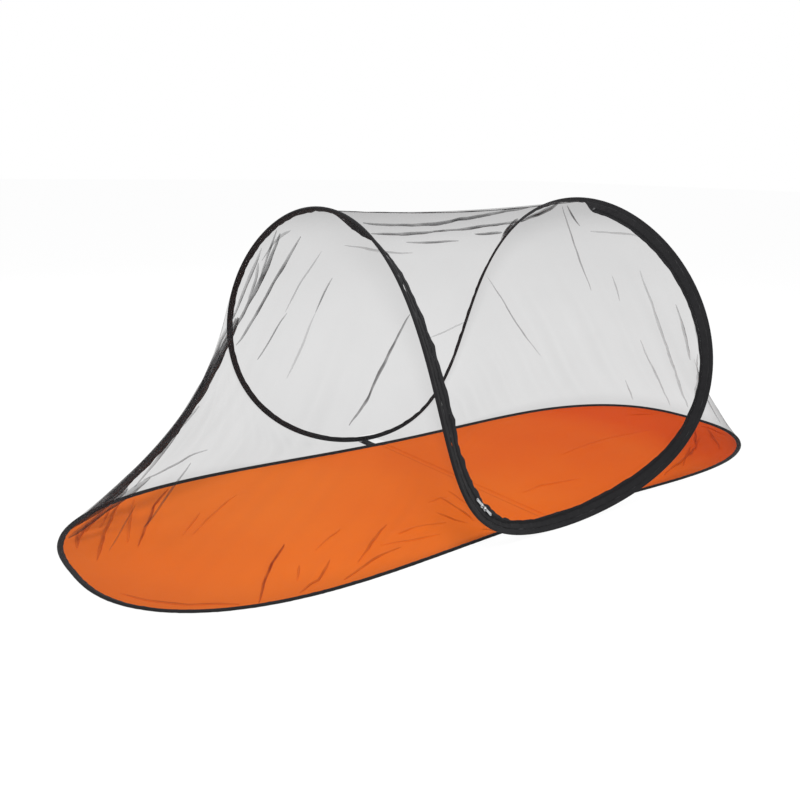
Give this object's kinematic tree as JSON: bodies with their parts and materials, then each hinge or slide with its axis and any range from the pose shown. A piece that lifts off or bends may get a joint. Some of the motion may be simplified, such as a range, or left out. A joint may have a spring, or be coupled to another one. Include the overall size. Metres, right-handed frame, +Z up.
{
  "type": "mosquito net tent",
  "caption": "Single-person pop-up net tent: oval groundsheet, two spring-wire arches, netting all round and a door with a U-shaped zip.",
  "frame": {"origin": "on the ground under the middle of the tent's length and width", "axes": "+X towards the foot end, +Y towards the far wall away from the door, +Z up"},
  "size_m": [2.1065, 0.9644, 0.751],
  "materials": {
    "groundsheet cloth": "plain woven polyester, matt",
    "black binding tape": "woven tape, matt",
    "netting": "fine dark net, see-through",
    "spring steel": "drawn wire",
    "zip nylon": "satin coil",
    "plated zinc": "bright plating"
  },
  "bodies": {
    "arch_head": {"arch_wire_head": "spring steel", "arch_sleeve_head": "black binding tape", "zip_tape_head": "black binding tape", "zip_teeth_head": "zip nylon", "zip_stop_head": "plated zinc", "net_wall": "netting", "ridge_tape": "black binding tape", "side_tab_far": "black binding tape", "side_tab_near": "black binding tape"},
    "arch_foot": {"arch_wire_foot": "spring steel", "arch_sleeve_foot": "black binding tape", "arch_ferrule": "spring steel", "zip_tape_foot": "black binding tape", "zip_teeth_foot": "zip nylon", "zip_stop_foot": "plated zinc"},
    "floor_head": {"groundsheet_head": "groundsheet cloth", "floor_wire_head": "spring steel", "floor_binding_head": "black binding tape", "net_head_end": "netting"},
    "floor_foot": {"groundsheet_foot": "groundsheet cloth", "floor_wire_foot": "spring steel", "floor_binding_foot": "black binding tape", "floor_ferrule": "spring steel", "net_foot_end": "netting"},
    "door_head": {"net_door": "netting", "door_teeth_head": "zip nylon", "door_tape_head": "black binding tape"},
    "door_foot": {"door_teeth_foot": "zip nylon", "door_tape_foot": "black binding tape"},
    "slider_upper": {"zip_slider_upper": "plated zinc"},
    "slider_lower": {"zip_slider_lower": "plated zinc"},
    "pull_upper": {"zip_pull_upper": "plated zinc"},
    "pull_lower": {"zip_pull_lower": "plated zinc"}
  },
  "joints": [
    {"name": "arch_fold", "type": "hinge", "parent": "arch_head", "child": "arch_foot", "pos_m": [-0.017, 0, 0.0199], "axis": [0, -1, 0], "range_deg": [0, 57], "stiffness_Nm_per_rad": 2, "springref_deg": -89.95, "deforming": ["net_wall", "ridge_tape", "net_head_end", "net_foot_end"]},
    {"name": "head_floor_fold", "type": "hinge", "parent": "arch_head", "child": "floor_head", "pos_m": [-0.017, 0, 0.0199], "axis": [0, 1, 0], "range_deg": [0, 47]},
    {"name": "foot_floor_fold", "type": "hinge", "parent": "arch_foot", "child": "floor_foot", "pos_m": [-0.017, 0, 0.0199], "axis": [0, -1, 0], "range_deg": [0, 47.4]},
    {"name": "door_swing", "type": "hinge", "parent": "arch_head", "child": "door_head", "pos_m": [-0.017, 0, 0.71543], "axis": [1, 0, 0], "range_deg": [-120, 0], "deforming": ["net_door", "door_teeth_head", "door_teeth_foot", "door_tape_head", "door_tape_foot"]},
    {"name": "door_fold", "type": "hinge", "parent": "door_head", "child": "door_foot", "pos_m": [-0.017, 0, 0.0199], "axis": [0, -1, 0], "range_deg": [0, 57]},
    {"name": "slider_upper_run", "type": "hinge", "parent": "arch_head", "child": "slider_upper", "pos_m": [-0.10931, -0.35221, 0.37784], "axis": [-0.3245, 0.939, -0.1135], "range_deg": [0, 31.9]},
    {"name": "slider_lower_run", "type": "hinge", "parent": "arch_head", "child": "slider_lower", "pos_m": [-0.10931, -0.35221, 0.37784], "axis": [-0.3245, 0.939, -0.1135], "range_deg": [-16, 0]},
    {"name": "pull_upper_swing", "type": "hinge", "parent": "slider_upper", "child": "pull_upper", "pos_m": [-0.32673, -0.45973, 0.14255], "axis": [0.6602, 0.2543, 0.7068], "range_deg": [0, 110]},
    {"name": "pull_lower_swing", "type": "hinge", "parent": "slider_lower", "child": "pull_lower", "pos_m": [-0.31306, -0.45661, 0.12928], "axis": [-0.6277, -0.2469, -0.7383], "range_deg": [0, 110]}
  ],
  "couplings": [
    {"joint": "head_floor_fold", "follows": "arch_fold", "ratio": 0.825},
    {"joint": "foot_floor_fold", "follows": "arch_fold", "ratio": 0.83},
    {"joint": "door_fold", "follows": "arch_fold", "ratio": 1}
  ]
}
